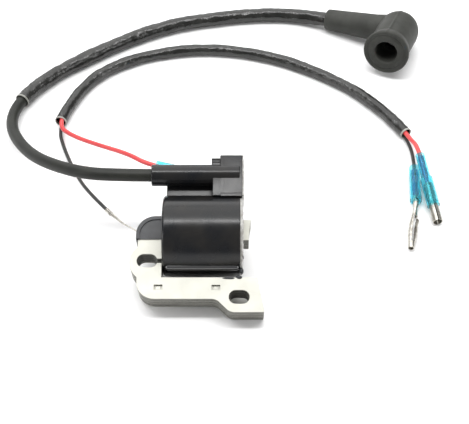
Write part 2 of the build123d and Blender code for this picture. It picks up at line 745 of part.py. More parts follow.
def stem(distance):
    """The plane across the boot's stem, at a distance from the elbow."""
    return Plane(Vector(*BOOT_ELBOW) + STEM_AXIS * distance, z_dir=STEM_AXIS)


STEM_LENGTH = (Vector(*STEM_TIP) - Vector(*BOOT_ELBOW)).length
with BuildPart() as plug_boot:
    with BuildSketch(head(-HEAD_R)):
        Circle(HEAD_R)
    extrude(amount=HEAD_R + HEAD_LENGTH)
    fillet(plug_boot.edges().filter_by(GeomType.CIRCLE).sort_by(Axis.Y)[-1], HEAD_BACK_R)
    with BuildSketch(head(HEAD_LENGTH - LIP_LENGTH)):
        Circle(HEAD_R)
    with BuildSketch(head(HEAD_LENGTH)):
        Circle(MOUTH_R)
    loft()
    with BuildSketch(stem(0)):
        Circle(STEM_ROOT_R)
    with BuildSketch(stem(STEM_LENGTH)):
        Circle(STEM_TIP_R)
    loft()
    with BuildSketch(head(HEAD_LENGTH)):
        Circle(MOUTH_BORE_R)
    extrude(amount=-MOUTH_BORE_LENGTH, mode=Mode.SUBTRACT)
    with BuildSketch(head(HEAD_LENGTH)):
        Circle(CHAMBER_R)
    extrude(amount=-(HEAD_LENGTH + BORE_PAST_ELBOW), mode=Mode.SUBTRACT)
    with BuildSketch(stem(STEM_LENGTH)):
        Circle(STEM_BORE_R)
    extrude(amount=BORE_PAST_ELBOW - STEM_LENGTH, mode=Mode.SUBTRACT)
finish(plug_boot, "plug_boot")

with BuildPart() as plug_contact_spring:
    with BuildLine() as coil_line:
        height = CONTACT_TURNS * CONTACT_PITCH
        Helix(CONTACT_PITCH, height, CONTACT_R, center=BOOT_ELBOW, direction=HEAD_AXIS)
    coil_path = coil_line.wires()[0]
    with BuildSketch(Plane(coil_path @ 0, z_dir=coil_path % 0)):
        Circle(CONTACT_WIRE_R)
    sweep(path=coil_path, is_frenet=True)
    across = coil_path @ 0 - Vector(*BOOT_ELBOW)
    with BuildSketch(Plane(BOOT_ELBOW, z_dir=across)):
        Circle(CONTACT_WIRE_R)
    extrude(amount=CONTACT_R)
    with BuildSketch(stem(-CONTACT_WIRE_R)):
        Circle(CONTACT_WIRE_R)
    extrude(amount=SEAT - CONTACT_GAP - DISC_THICKNESS + CONTACT_WIRE_R)
    with BuildSketch(stem(SEAT - CONTACT_GAP)):
        Circle(DISC_R)
    extrude(amount=-DISC_THICKNESS)
finish(plug_contact_spring, "plug_contact_spring")

# ---------------------------------------------------------------- potting resin
with BuildPart() as potting_resin:
    add(cavity.part)
    with BuildSketch(section(BOBBIN_LEFT - JOIN)):
        Rectangle(*OPENING)
    extrude(amount=2 * BOBBIN_LENGTH, mode=Mode.SUBTRACT)
    for bobbin_part in (primary_bobbin, primary_winding, secondary_bobbin, secondary_winding):
        add(bobbin_part.part, mode=Mode.SUBTRACT)
    for board_part in (
        circuit_board,
        switching_transistor,
        timing_capacitor,
        blocking_diode,
        bias_resistors,
        high_voltage_spike,
        kill_tab,
    ):
        add(board_part.part, mode=Mode.SUBTRACT)
finish(potting_resin, "potting_resin")
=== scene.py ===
import bmesh
import bpy
import json
import random
from math import asin, cos, pi, radians, sin, tan
from mathutils import Matrix, Vector, noise


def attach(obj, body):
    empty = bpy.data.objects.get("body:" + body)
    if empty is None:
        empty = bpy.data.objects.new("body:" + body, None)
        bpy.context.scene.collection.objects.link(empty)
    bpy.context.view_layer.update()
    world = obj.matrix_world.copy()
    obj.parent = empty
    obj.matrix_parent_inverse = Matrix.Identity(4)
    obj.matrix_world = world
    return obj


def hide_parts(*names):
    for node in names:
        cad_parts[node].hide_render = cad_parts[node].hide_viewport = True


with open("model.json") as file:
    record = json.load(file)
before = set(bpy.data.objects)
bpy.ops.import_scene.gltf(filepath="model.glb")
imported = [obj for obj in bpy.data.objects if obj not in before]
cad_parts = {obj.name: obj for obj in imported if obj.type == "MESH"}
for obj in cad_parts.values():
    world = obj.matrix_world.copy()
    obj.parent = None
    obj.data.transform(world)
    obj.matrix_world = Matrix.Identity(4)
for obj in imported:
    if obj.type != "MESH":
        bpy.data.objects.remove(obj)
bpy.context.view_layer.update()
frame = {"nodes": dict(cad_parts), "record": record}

MM = 0.001
X = Vector((1, 0, 0))
UP = Vector((0, 0, 1))
MERGE, DEGENERATE = 0.000002, 0.000001
ARC_STEP = radians(9)
MARKS = {mount["name"]: mount for mount in frame["record"]["mounts"]}

# The coil's own frame: u along the leg (X), v across the legs, n through the stack.
STACK_UP = Vector(MARKS["left_screw_slot"]["axis"])
ACROSS = STACK_UP.cross(X)
POLE_U = 59.9
LEG = Vector(MARKS["leg_pole"]["pos_m"]) - X * POLE_U * MM


def basis(x_axis, y_axis, z_axis, origin):
    """The matrix of a frame with these axes."""
    return Matrix.Translation(origin) @ Matrix((x_axis, y_axis, z_axis)).transposed().to_4x4()


CORE = basis(X, ACROSS, STACK_UP, LEG)
SECTION = basis(ACROSS, STACK_UP, X, LEG)


def place(u, v, n):
    """A point of the coil's own frame, given in millimetres, in the row frame."""
    return CORE @ (Vector((u, v, n)) * MM)


# ------------------------------------------------------------------ camera
LENS_MM = 82.5
SENSOR_MM = 36.0
VIEW_DOWN = radians(48.13)
CAMERA_AT = Vector((15.0, -281.3, 345.9)) * MM

camera_data = bpy.data.cameras.new("camera")
camera_data.lens = LENS_MM
camera_data.sensor_width = SENSOR_MM
camera_data.clip_start = 0.01
camera = bpy.data.objects.new("camera", camera_data)
camera.location = CAMERA_AT
camera.rotation_euler = (pi / 2 - VIEW_DOWN, 0, 0)
bpy.context.collection.objects.link(camera)
bpy.context.scene.camera = camera


# ------------------------------------------------------------------ materials
FINISH = {}


def material(name, slot, color, rough, metallic=0.0, **look):
    """A procedural finish: two tones from noise, uneven roughness, and a fine bump."""
    made = bpy.data.materials.new(name)
    made.use_nodes = True
    tree = made.node_tree
    shader = tree.nodes["Principled BSDF"]
    coordinates = tree.nodes.new("ShaderNodeTexCoord")
    scaling = tree.nodes.new("ShaderNodeMapping")
    scaling.inputs["Scale"].default_value = look.get("stretch", (1, 1, 1))
    tree.links.new(coordinates.outputs["Object"], scaling.inputs["Vector"])

    def texture(scale, detail=4.0):
        made_noise = tree.nodes.new("ShaderNodeTexNoise")
        made_noise.inputs["Scale"].default_value = scale
        made_noise.inputs["Detail"].default_value = detail
        tree.links.new(scaling.outputs["Vector"], made_noise.inputs["Vector"])
        return made_noise

    tone = texture(look.get("tone_scale", 120.0))
    ramp = tree.nodes.new("ShaderNodeValToRGB")
    ramp.color_ramp.elements[0].position = look.get("tone_low", 0.35)
    ramp.color_ramp.elements[1].position = look.get("tone_high", 0.65)
    other = look.get("other", [channel * 0.8 for channel in color])
    ramp.color_ramp.elements[0].color = (*other, 1)
    ramp.color_ramp.elements[1].color = (*color, 1)
    tree.links.new(tone.outputs["Fac"], ramp.inputs["Fac"])
    tree.links.new(ramp.outputs["Color"], shader.inputs["Base Color"])

    spread = look.get("rough_spread", 0.08)
    patches = texture(look.get("rough_scale", 300.0))
    limits = tree.nodes.new("ShaderNodeMapRange")
    limits.inputs["To Min"].default_value = max(0.02, rough - spread)
    limits.inputs["To Max"].default_value = rough + spread
    tree.links.new(patches.outputs["Fac"], limits.inputs["Value"])
    tree.links.new(limits.outputs["Result"], shader.inputs["Roughness"])

    grain = texture(look.get("bump_scale", 1500.0), 6.0)
    bump = tree.nodes.new("ShaderNodeBump")
    bump.inputs["Strength"].default_value = look.get("bump", 0.15)
    bump.inputs["Distance"].default_value = look.get("bump_depth", 0.1) * MM
    tree.links.new(grain.outputs["Fac"], bump.inputs["Height"])
    tree.links.new(bump.outputs["Normal"], shader.inputs["Normal"])

    shader.inputs["Metallic"].default_value = metallic
    for socket, value in look.get("sockets", {}).items():
        shader.inputs[socket].default_value = value
    FINISH[slot] = made
    return made


steel_face = material(
    "steel_face", "core_steel", (0.61, 0.605, 0.54), 0.45, 0.1, other=(0.53, 0.525, 0.465),
    tone_scale=150.0, bump_scale=900.0, bump=0.12, rough_spread=0.12,
)
# The core's side faces get painted shade: a darker steel than the top face, standing in for the
# shade on them. The streaks along the stack are the lamination texture.
steel_edge_shade = material(
    "steel_edge_shade", "core_edge", (0.15, 0.147, 0.132), 0.5, 0.3, other=(0.05, 0.048, 0.042),
    tone_scale=260.0, stretch=(0.2, 0.2, 3.5), bump_scale=1200.0, bump=0.5,
)
case_plastic = material(
    "case_plastic", "case_plastic", (0.006, 0.007, 0.009), 0.23, other=(0.015, 0.014, 0.013),
    tone_scale=90.0, rough_scale=160.0, rough_spread=0.08, bump_scale=300.0, bump=0.14,
    bump_depth=0.2, sockets={"Specular IOR Level": 0.32},
)
cap_plastic = material(
    "cap_plastic", "cap_plastic", (0.036, 0.038, 0.042), 0.42, other=(0.022, 0.023, 0.025),
    tone_scale=200.0, bump_scale=900.0, bump=0.25, sockets={"Specular IOR Level": 0.35},
)
resin = material(
    "resin", "resin", (0.47, 0.46, 0.44), 0.25, other=(0.22, 0.21, 0.19), tone_scale=170.0,
    bump_scale=420.0, bump=0.6, bump_depth=0.3, rough_spread=0.15,
)
material("bobbin_plastic", "bobbin_plastic", (0.70, 0.66, 0.55), 0.45)
material(
    "copper", "copper_wire", (0.60, 0.25, 0.10), 0.3, 0.9, stretch=(12.0, 1.0, 1.0), bump=0.6
)
material("board", "board", (0.10, 0.28, 0.13), 0.4, other=(0.05, 0.16, 0.07))
material("component", "component_plastic", (0.02, 0.02, 0.02), 0.4)
material("brass", "brass", (0.75, 0.55, 0.26), 0.3, 1.0, other=(0.55, 0.38, 0.17))
tin = material(
    "tin", "tin_plate", (0.60, 0.58, 0.53), 0.28, 1.0, other=(0.33, 0.31, 0.27),
    tone_scale=420.0, bump_scale=900.0, bump=0.25,
)
# tin_dark is painted shade: a dark blue that stands in for the crimps seen in shade through the
# blue vinyl sleeves.
tin_dark = material(
    "tin_dark", "tin_dark", (0.10, 0.12, 0.30), 0.35, 0.6, other=(0.05, 0.06, 0.18),
    tone_scale=300.0, bump_scale=900.0, bump=0.4,
)
vinyl_blue = material(
    "vinyl_blue", "vinyl_blue", (0.42, 0.91, 0.98), 0.12, other=(0.26, 0.82, 0.94),
    tone_scale=240.0, bump_scale=260.0, bump=0.15, bump_depth=0.15,
    sockets={"Transmission Weight": 0.93, "IOR": 1.12},
)
lead_rubber = material(
    "lead_rubber", "lead_rubber", (0.017, 0.018, 0.014), 0.5, other=(0.010, 0.011, 0.009),
    tone_scale=150.0, bump_scale=700.0, bump=0.2, sockets={"Specular IOR Level": 0.3},
)
sleeve_vinyl = material(
    "sleeve_vinyl", "sleeve_vinyl", (0.007, 0.007, 0.006), 0.2, other=(0.020, 0.020, 0.018),
    tone_scale=170.0, rough_scale=220.0, rough_spread=0.14, bump_scale=300.0, bump=1.0,
    bump_depth=0.6, sockets={"Specular IOR Level": 0.55},
)
case_bead = material(
    "case_bead", "case_bead", (0.02, 0.021, 0.023), 0.12, other=(0.03, 0.03, 0.03),
    rough_spread=0.04, bump_scale=300.0, bump=0.05,
    sockets={"Specular IOR Level": 1.0, "Coat Weight": 1.0, "Coat Roughness": 0.08},
)
# sleeve_cut is a painted highlight: a pale grey on the black sleeves' cut ends that stands in for
# light caught by the cut edge.
sleeve_cut = material("sleeve_cut", "sleeve_cut", (0.36, 0.36, 0.33), 0.5, other=(0.2, 0.2, 0.18))
red_vinyl = material(
    "red_vinyl", "red_vinyl", (0.66, 0.062, 0.062), 0.38, other=(0.58, 0.045, 0.048), bump=0.1
)
black_vinyl = material("black_vinyl", "black_vinyl", (0.011, 0.012, 0.010), 0.36)
boot_rubber = material(
    "boot_rubber", "boot_rubber", (0.042, 0.043, 0.038), 0.58, other=(0.029, 0.030, 0.026),
    tone_scale=130.0, bump_scale=800.0, bump=0.35, rough_spread=0.1,
    sockets={"Specular IOR Level": 0.3},
)
material("spring_steel", "spring_steel", (0.55, 0.55, 0.53), 0.3, 1.0)

for row in frame["record"]["subparts"]:
    finishes = frame["nodes"][row["node"]].data.materials
    finishes.clear()
    finishes.append(FINISH[row["material_slot"]])


# ------------------------------------------------------------------ mesh helpers
def rounded(corners):
    """A closed outline from (x, y, radius) corners, with arcs at the rounded ones."""
    outline = []
    for i, (x, y, radius) in enumerate(corners):
        here = Vector((x, y))
        if radius == 0:
            outline.append(tuple(here))
            continue
        before = (Vector(corners[i - 1][:2]) - here).normalized()
        after = (Vector(corners[(i + 1) % len(corners)][:2]) - here).normalized()
        half = before.angle(after) / 2
        reach = radius / tan(half)
        centre = here + (before + after).normalized() * radius / sin(half)
        start, end = here + before * reach - centre, here + after * reach - centre
        turn = start.angle_signed(end)
        steps = max(3, round(abs(turn) / ARC_STEP))
        for step in range(steps + 1):
            angle = -turn * step / steps
            spun = Vector((
                start.x * cos(angle) - start.y * sin(angle),
                start.x * sin(angle) + start.y * cos(angle),
            ))
            outline.append(tuple(centre + spun))
    return outline


def arc_angles(first, last, steps):
    """Even angles from the first to the last."""
    return [first + (last - first) * i / steps for i in range(steps + 1)]


def arc(centre, radius, first, last, steps):
    """Points along an arc."""
    x, y = centre
    return [(x + radius * cos(a), y + radius * sin(a)) for a in arc_angles(first, last, steps)]


def circle(x, y, radius, steps=96):
    """A closed round outline."""
    angles = [2 * pi * i / steps for i in range(steps)]
    return [(x + radius * cos(a), y + radius * sin(a)) for a in angles]


def slot_hole(x, y, length, width, steps=14):
    """A slot with round ends, long along x."""
    reach, end_r = (length - width) / 2, width / 2
    right = arc((x + reach, y), end_r, -pi / 2, pi / 2, steps)
    left = arc((x - reach, y), end_r, pi / 2, 3 * pi / 2, steps)
    return right + left


def rectangle(x0, x1, y0, y1, radius=0.0):
    """A rectangle's outline, with corners of one radius."""
    return rounded([(x0, y0, radius), (x1, y0, radius), (x1, y1, radius), (x0, y1, radius)])


def add_object(name, mesh, finish, body="root"):
    """Links a mesh as a piece that rides on a body."""
    made = bpy.data.objects.new(name, mesh)
    bpy.context.collection.objects.link(made)
    mesh.materials.append(finish)
    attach(made, body)
    return made


def plate_mesh(outlines, low, high, frame_of, bevel=0.0):
    """A flat plate with holes and slightly rounded edges, between two heights."""
    curve = bpy.data.curves.new("plate", "CURVE")
    curve.dimensions = "2D"
    curve.fill_mode = "BOTH"
    curve.extrude = ((high - low) / 2 - bevel) * MM
    curve.bevel_depth = bevel * MM
    curve.bevel_resolution = 2
    curve.offset = -bevel * MM
    for outline in outlines:
        spline = curve.splines.new("POLY")
        spline.points.add(len(outline) - 1)
        for point, (x, y) in zip(spline.points, outline):
            point.co = (x * MM, y * MM, 0, 1)
        spline.use_cyclic_u = True
    shape = bpy.data.objects.new("plate", curve)
    mesh = bpy.data.meshes.new_from_object(shape)
    mesh.transform(frame_of @ Matrix.Translation((0, 0, (low + high) / 2 * MM)))
    bpy.data.objects.remove(shape)
    bpy.data.curves.remove(curve)
    return mesh


def joined(meshes):
    """One mesh with the faces of several, keeping each one's material numbers."""
    points, faces, numbers = [], [], []
    for mesh in meshes:
        first = len(points)
        points += [v.co.copy() for v in mesh.vertices]
        faces += [[first + i for i in p.vertices] for p in mesh.polygons]
        numbers += [p.material_index for p in mesh.polygons]
    whole = bpy.data.meshes.new("joined")
    whole.from_pydata(points, [], faces)
    for polygon, number in zip(whole.polygons, numbers):
        polygon.material_index = number
    whole.validate()
    return whole


def soften(mesh, angle=35.0):
    """Smooth shading except over sharp edges."""
    for polygon in mesh.polygons:
        polygon.use_smooth = True
    mesh.set_sharp_from_angle(angle=radians(angle))
    return mesh


def frames_along(points):
    """A steady pair of side directions at each point of a path."""
    sides = []
    tangent = (points[1] - points[0]).normalized()
    side = tangent.cross(UP)
    if side.length < 0.01:
        side = tangent.cross(X)
    side.normalize()
    for i in range(len(points)):
        after = points[min(i + 1, len(points) - 1)]
        before = points[max(i - 1, 0)]
        tangent = (after - before).normalized()
        side = (side - tangent * side.dot(tangent)).normalized()
        sides.append((side.copy(), tangent.cross(side)))
    return sides


def skin(rings, closed_ends=False, loop=False):
    """A mesh over rings that have the same number of points."""
    count = len(rings[0])
    points = [p for ring in rings for p in ring]
    faces = []
    for i in range(len(rings) if loop else len(rings) - 1):
        a, b = i * count, ((i + 1) % len(rings)) * count
        for j in range(count):
            k = (j + 1) % count
            faces.append([a + j, a + k, b + k, b + j])
    if closed_ends:
        faces.append(list(range(count))[::-1])
        faces.append([(len(rings) - 1) * count + j for j in range(count)])
    mesh = bpy.data.meshes.new("skin")
    mesh.from_pydata(points, [], faces)
    mesh.validate()
    return mesh


def turned(profile, origin, axis, steps=72):
    """A lathed solid: a closed outline of (distance, radius) about an axis, in millimetres."""
    axis = axis.normalized()
    side = axis.cross(UP).normalized()
    other = axis.cross(side)
    rings = []
    for distance, radius in profile:
        centre = origin + axis * distance * MM
        ring = []
        for j in range(steps):
            angle = 2 * pi * j / steps
            ring.append(centre + (side * cos(angle) + other * sin(angle)) * max(radius, 0.0) * MM)
        rings.append(ring)
    return cleaned(skin(rings, loop=True))


def cleaned(mesh):
    """The mesh with doubled points merged and its faces turned outwards."""
    work = bmesh.new()
    work.from_mesh(mesh)
    bmesh.ops.remove_doubles(work, verts=work.verts, dist=MERGE)
    bmesh.ops.dissolve_degenerate(work, edges=work.edges, dist=DEGENERATE)
    bmesh.ops.recalc_face_normals(work, faces=work.faces)
    work.to_mesh(mesh)
    work.free()
    return mesh


# ------------------------------------------------------------------ cord routes, as in the model
def in_metres(*places):
    """A route's points, given in millimetres."""
    return [Vector(p) * MM for p in places]


def on_axis(start, axis, distance):
    """The point at a distance along an axis."""
    return tuple(Vector(start) + Vector(axis).normalized() * distance)


ELBOW = (95.8, 139.5, 10.1)
STEM_TIP = (62.0, 155.5, 5.1)
STEM = (Vector(STEM_TIP) - Vector(ELBOW)).normalized()
HEAD = Vector((-0.370, -0.914, 0.167)).normalized()
SEAT, NECK_RUN = 27.0, 22.0
TOWER_V, TOWER_N, LEAD_SEAT = 22.6, 8.0, 38.0
TOWER = place(LEAD_SEAT, TOWER_V, TOWER_N) / MM

HT_POINTS = in_metres(
    tuple(TOWER), (-30.2, TOWER.y, TOWER.z), (-50.8, 24.2, 29.3), (-75.8, 49.0, 15.2),
    (-90.6, 82.7, 4.2), (-79.3, 108.7, 3.6), (-51.3, 132.5, 3.6), (-21.8, 151.2, 3.6),
    (3.2, 157.7, 3.6), (27.7, 161.5, 3.6), on_axis(ELBOW, STEM, SEAT + NECK_RUN),
    on_axis(ELBOW, STEM, SEAT),
)
PAIR_LEFT = (-65.6, 82.4)
PAIR_RIGHT = (93.7, 74.4)
PAIR_PLAN = [
    (-60.9, 101.2), (-46.3, 121.3), (-17.6, 133.6), (12.4, 134.6), (41.0, 126.0),
    (67.7, 108.6), (82.7, 92.4), (89.8, 81.5),
]
SLEEVE_Z, RED_Z, BLACK_Z = 2.85, 3.75, 1.8
MALE_START = (95.1, 52.8, 2.5)
MALE_AXIS = Vector((-0.077, -0.997, 0.0)).normalized()
FEMALE_START = (97.4, 56.4, 7.1)
FEMALE_AXIS = Vector((0.116, -0.985, -0.13)).normalized()
MALE_WIRE_END, FEMALE_WIRE_END = 4.0, 2.0
KILL_YAW = radians(14.1)
KILL_ROOT = place(47.6, 23.6, 0.2)
KILL_OUT = (X * -cos(KILL_YAW) + ACROSS * sin(KILL_YAW)).normalized()
KILL_WIRE_END, KILL_SLEEVE_END = 19.0, 27.0


def past(inside, end, distance):
    """The plan point beyond a sleeve's end, in line with it."""
    step = (Vector(end) - Vector(inside)).normalized() * distance
    return (end[0] + step.x, end[1] + step.y)


def level(plan, z):
    """Plan points at one height."""
    return [(x, y, z) for x, y in plan]


RED_POINTS = in_metres(
    tuple((KILL_ROOT + KILL_OUT * KILL_WIRE_END * MM) / MM),
    tuple((KILL_ROOT + KILL_OUT * (KILL_SLEEVE_END + 4.0) * MM) / MM),
    (-29.8, 40.0, 24.2), (-45.3, 55.7, 14.2), (-58.3, 68.7, 7.0),
    *level([past(PAIR_PLAN[0], PAIR_LEFT, 3.7)] + PAIR_PLAN, RED_Z), (95.2, 69.6, RED_Z),
    on_axis(FEMALE_START, FEMALE_AXIS, -5.0), on_axis(FEMALE_START, FEMALE_AXIS, FEMALE_WIRE_END),
)
BLACK_POINTS = in_metres(
    (-38.0, 17.7, 13.5), (-47.6, 32.8, 8.0), (-54.6, 47.2, 3.4), (-62.1, 65.2, 1.0),
    *level([past(PAIR_PLAN[0], PAIR_LEFT, 3.3)] + PAIR_PLAN, BLACK_Z), (94.4, 70.2, BLACK_Z),
    on_axis(MALE_START, MALE_AXIS, -6.0), on_axis(MALE_START, MALE_AXIS, MALE_WIRE_END),
)
PAIR_POINTS = in_metres(*level([PAIR_LEFT] + PAIR_PLAN + [PAIR_RIGHT], SLEEVE_Z))


def smooth_line(name, route, radius=0.0):
    """A curve object: the smooth line that the route's points control."""
    curve = bpy.data.curves.new(name, "CURVE")
    curve.dimensions = "3D"
    spline = curve.splines.new("NURBS")
    spline.points.add(len(route) - 1)
    for point, spot in zip(spline.points, route):
        point.co = (*spot, 1)
    spline.order_u = 3
    spline.use_endpoint_u = True
    spline.resolution_u = 24
    curve.bevel_depth = radius * MM
    curve.bevel_resolution = 8
    curve.use_fill_caps = radius > 0
    made = bpy.data.objects.new(name, curve)
    bpy.context.collection.objects.link(made)
    return made


def read_line(route):
    """Close points along the route's smooth line."""
    line = smooth_line("line", route)
    mesh = bpy.data.meshes.new_from_object(line)
    found = [v.co.copy() for v in mesh.vertices]
    bpy.data.objects.remove(line)
    return found


def evenly(line, spacing, first=0.0, last=None):
    """Points at an even spacing along a line, between two distances, all in metres."""
    lengths = [0.0]
    for a, b in zip(line, line[1:]):
        lengths.append(lengths[-1] + (b - a).length)
    last = lengths[-1] if last is None else last
    count = max(2, round((last - first) / spacing))
    found, at = [], 0
    for i in range(count + 1):
        goal = first + (last - first) * i / count
        while at < len(lengths) - 2 and lengths[at + 1] < goal:
            at += 1
        share = (goal - lengths[at]) / max(lengths[at + 1] - lengths[at], 1e-9)
        found.append(line[at].lerp(line[at + 1], min(max(share, 0.0), 1.0)))
    return found


def cord(name, route, radius, finish):
    """A round cord that rides with the coil."""
    made = smooth_line(name, route, radius)
    made.data.materials.append(finish)
    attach(made, "root")
    return made


HT_R, RED_R, BLACK_R = 2.65, 1.0, 0.8
ht_lead = cord("high_tension_lead", HT_POINTS, HT_R, lead_rubber)
red_wire = cord("red_kill_wire", RED_POINTS, RED_R, red_vinyl)
black_wire = cord("black_earth_wire", BLACK_POINTS, BLACK_R, black_vinyl)


SLEEVE_STEPS, SLEEVE_WALL_DEPTH = 28, 9.0
# How far the painted highlight on the sleeves' cut ends reaches.
CUT_DEPTH, CUT_REACH = 0.5, 1.3


def sleeve(name, line, outer, inner, lumps, seed):
    """A loose vinyl sleeve: wrinkled outside, with cut ends that show its thickness and carry a
    pale painted highlight.
    """
    sides = frames_along(line)
    shift = Vector((seed * 3.1, seed * 1.7, seed * 0.9))

    def ring(i, radius, rough):
        side, other = sides[i]
        made = []
        for j in range(SLEEVE_STEPS):
            angle = 2 * pi * j / SLEEVE_STEPS
            direction = side * cos(angle) + other * sin(angle)
            spot = line[i] + direction * radius * MM
            fine = noise.noise(spot * 380 + shift)
            coarse = noise.noise(spot * 90 + shift * 2)
            crease = abs(noise.noise(spot * 180 + shift * 3))
            reach = radius - lumps * rough * (0.35 + 0.4 * fine + 0.5 * coarse + 0.5 * crease)
            made.append(line[i] + direction * reach * MM)
        return made

    last = len(line) - 1
    outside = [ring(i, outer, 1.0) for i in range(last + 1)]
    spacing = (line[1] - line[0]).length / MM
    depth = max(2, round(SLEEVE_WALL_DEPTH / spacing))
    head = [ring(i, inner, 0.0) for i in range(depth, -1, -1)]
    tail = [ring(i, inner, 0.0) for i in range(last, last - depth - 1, -1)]
    mesh = cleaned(skin(head + outside + tail))
    made = add_object(name, soften(mesh, 60), sleeve_vinyl)
    # Faces at the cut ends take the pale painted highlight.
    mesh.materials.append(sleeve_cut)
    for polygon in mesh.polygons:
        for end, inward in ((line[0], line[1] - line[0]), (line[-1], line[-2] - line[-1])):
            offset = polygon.center - end
            depth_in = abs(offset.dot(inward.normalized()))
            if depth_in < CUT_DEPTH * MM and offset.length < CUT_REACH * outer * MM:
                polygon.material_index = 1
    return made


def distance_to(line, spot):
    """How far along a line its nearest point to a spot is, in metres."""
    run, best = 0.0, (1e9, 0.0)
    for a, b in zip(line, line[1:]):
        best = min(best, ((a - spot).length, run))
        run += (b - a).length
    return best[1]


HT_SLEEVE_R, HT_SLEEVE_BORE, HT_SLEEVE_LUMPS, HT_SLEEVE_SPACING = 3.6, 3.1, 0.5, 0.9
PAIR_R, PAIR_BORE, PAIR_LUMPS, PAIR_SPACING = 2.85, 2.35, 0.42, 0.8
ht_line = read_line(HT_POINTS)
sleeve_mark = (HT_POINTS[4] + HT_POINTS[5]) / 2
ht_sleeve = sleeve(
    "ht_lead_sleeve",
    evenly(ht_line, HT_SLEEVE_SPACING * MM, distance_to(ht_line, sleeve_mark)),
    HT_SLEEVE_R, HT_SLEEVE_BORE, HT_SLEEVE_LUMPS, 3,
)
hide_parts("ht_sleeve")
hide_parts("ht_lead")
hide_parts("red_wire")
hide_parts("black_wire")
pair_line = read_line(PAIR_POINTS)
pair_sleeve = sleeve(
    "wire_pair_sleeve", evenly(pair_line, PAIR_SPACING * MM), PAIR_R, PAIR_BORE, PAIR_LUMPS, 8
)
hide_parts("pair_sleeve")

# ------------------------------------------------------------------ laminated core
SHEETS = 21
SHEET = 0.5
SHEET_GAP, SHEET_EDGE, SHEET_JITTER = 0.02, 0.05, 0.03
STACK_HALF = SHEETS * SHEET / 2
YOKE_LEFT, YOKE_RIGHT, LEG_HALF = 15.3, 25.0, 4.3
LOWER_INNER, LOWER_OUTER, FOOT = -19.9, -28.7, -34.1
YOKE_CORNER = 7.0
POLE_TOP, POLE_BOTTOM, POLE_DISH = (60.4, LEG_HALF), (59.5, -LEG_HALF), 0.25
LEFT_SLOT, RIGHT_SLOT = (19.2, -13.0), (55.6, -27.9)
SLOT_LENGTH, SLOT_WIDTH, SLIT_HALF = 8.2, 5.6, 0.9
DIMPLES = ((23.9, -23.9), (46.5, -24.0))
DIMPLE = (3.4, 2.0)
LOBE_BOTTOM, LOBE_TOP, LOBE_HALF, LOBE_REACH = -19.8, -7.4, 6.2, 3.0
LOBE_R = (LOBE_HALF**2 + LOBE_REACH**2) / (2 * LOBE_REACH)
LOBE_CENTRE = (YOKE_LEFT - LOBE_REACH + LOBE_R, (LOBE_BOTTOM + LOBE_TOP) / 2)
LOBE_SWEEP = asin(LOBE_HALF / LOBE_R)


def pole_arc(steps=8):
    """The leg's dished end, between its two corners."""
    top, bottom = Vector(POLE_TOP), Vector(POLE_BOTTOM)
    found = []
    for i in range(1, steps):
        dip = Vector((POLE_DISH * sin(pi * i / steps), 0))
        found.append(tuple(top.lerp(bottom, i / steps) - dip))
    return found


def sheet_outline():
    """The closed outline of one sheet, with its left slot open through a slit."""
    start = [(YOKE_LEFT, LOBE_TOP)]
    corner_centre = (YOKE_LEFT + YOKE_CORNER, LEG_HALF - YOKE_CORNER)
    corner = arc(corner_centre, YOKE_CORNER, pi, pi / 2, 12)
    top = [POLE_TOP] + pole_arc() + [POLE_BOTTOM, (YOKE_RIGHT, -LEG_HALF)]
    reach = (SLOT_LENGTH - SLOT_WIDTH) / 2
    slit = asin(SLIT_HALF / (SLOT_WIDTH / 2))
    x, y = LEFT_SLOT
    slot = (
        [(YOKE_RIGHT, y + SLIT_HALF)]
        + arc((x + reach, y), SLOT_WIDTH / 2, slit, pi / 2, 6)
        + arc((x - reach, y), SLOT_WIDTH / 2, pi / 2, 3 * pi / 2, 14)
        + arc((x + reach, y), SLOT_WIDTH / 2, -pi / 2, -slit, 6)
        + [(YOKE_RIGHT, y - SLIT_HALF)]
    )
    lower = rounded([
        (YOKE_RIGHT, LOWER_INNER, 0), (62.7, LOWER_INNER, 0.4), (65.4, FOOT, 0.4),
        (52.0, FOOT, 4.5), (46.6, LOWER_OUTER, 4.5), (YOKE_LEFT, LOWER_OUTER, YOKE_CORNER),
        (YOKE_LEFT, LOBE_BOTTOM, 0),
    ])
    lobe = arc(LOBE_CENTRE, LOBE_R, pi + LOBE_SWEEP, pi - LOBE_SWEEP, 12)[1:-1]
    return start + corner + top + slot + lower + lobe


def pocket(x, y):
    """The outline of an interlock dimple's pocket."""
    return rectangle(x - DIMPLE[0] / 2, x + DIMPLE[0] / 2, y - DIMPLE[1] / 2, y + DIMPLE[1] / 2)


def laminations():
    """The stack of punched sheets, each a little out of line with its neighbours."""
    random.seed(21)
    sheets = []
    outline = sheet_outline()
    holes = [slot_hole(*RIGHT_SLOT, SLOT_LENGTH, SLOT_WIDTH)]
    pockets = [pocket(x, y) for x, y in DIMPLES]
    for i in range(SHEETS):
        low = -STACK_HALF + i * SHEET
        high = low + SHEET - SHEET_GAP
        along = random.uniform(-SHEET_JITTER, SHEET_JITTER)
        across = random.uniform(-SHEET_JITTER, SHEET_JITTER)
        moved = CORE @ Matrix.Translation(Vector((along, across, 0)) * MM)
        cut = holes + (pockets if i >= SHEETS - 2 else [])
        sheets.append(plate_mesh([outline] + cut, low + SHEET_GAP, high, moved, SHEET_EDGE))
    mesh = joined(sheets)
    made = add_object("core_sheets", mesh, steel_face)
    mesh.materials.append(steel_edge_shade)
    # Faces that do not face along the stack take the painted-shade side colour.
    for polygon in mesh.polygons:
        polygon.material_index = int(abs(polygon.normal.dot(STACK_UP)) < 0.6)
    return made


core_sheets = laminations()
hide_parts("core_laminations")


TONGUE_HALF, TONGUE_FLARE, TONGUE_SHORT = DIMPLE[0] / 2 - 0.95, 0.2, 0.55
TONGUE_TOP, TONGUE_LOW, TONGUE_THICK = STACK_HALF - 0.02, STACK_HALF - 0.95, 0.5


